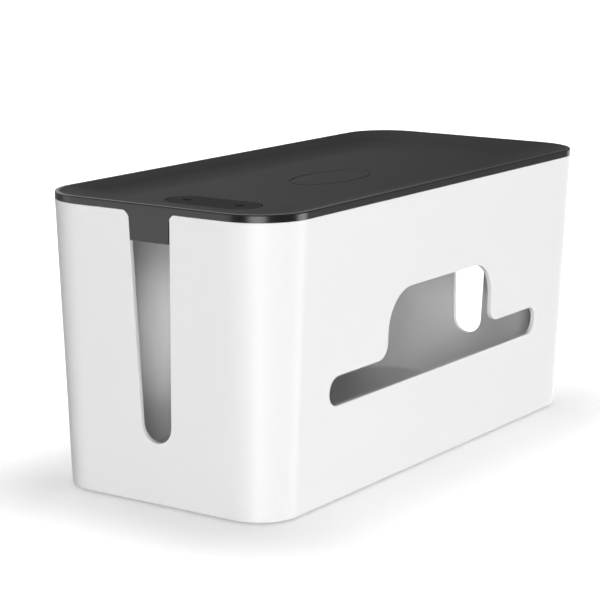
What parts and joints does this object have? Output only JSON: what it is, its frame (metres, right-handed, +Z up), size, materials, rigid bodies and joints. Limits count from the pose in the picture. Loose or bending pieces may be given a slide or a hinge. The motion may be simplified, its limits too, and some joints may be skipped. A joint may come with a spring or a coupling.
{
  "type": "cable management box",
  "caption": "Tapering box that hides a power strip and its cables, with a slot in each end, a window in front, and a lift-off tray lid with a soft cable grommet.",
  "frame": {"origin": "on the surface that the box stands on, under the middle of the box", "axes": "+X along the length of the box, away from the grommet in the lid; -Y towards the front wall with the window; +Z up"},
  "size_m": [0.28, 0.129, 0.1333],
  "materials": {
    "tub_plastic": "satin white moulded plastic",
    "lid_plastic": "fine matt texture in the tray, smooth sides",
    "grommet_rubber": "matt soft rubber",
    "foot_rubber": "matt soft rubber"
  },
  "bodies": {
    "tub": {"box_body": "tub_plastic", "foot_front_left": "foot_rubber", "foot_front_right": "foot_rubber", "foot_back_left": "foot_rubber", "foot_back_right": "foot_rubber"},
    "lid": {"lid": "lid_plastic"},
    "grommet": {"cable_grommet": "grommet_rubber"}
  },
  "joints": [
    {"name": "lid_lift", "type": "slide", "parent": "tub", "child": "lid", "axis": [0, 0, 1], "range_m": [0, 0.12]},
    {"name": "grommet_lift", "type": "slide", "parent": "lid", "child": "grommet", "axis": [0, 0, 1], "range_m": [0, 0.03]}
  ]
}
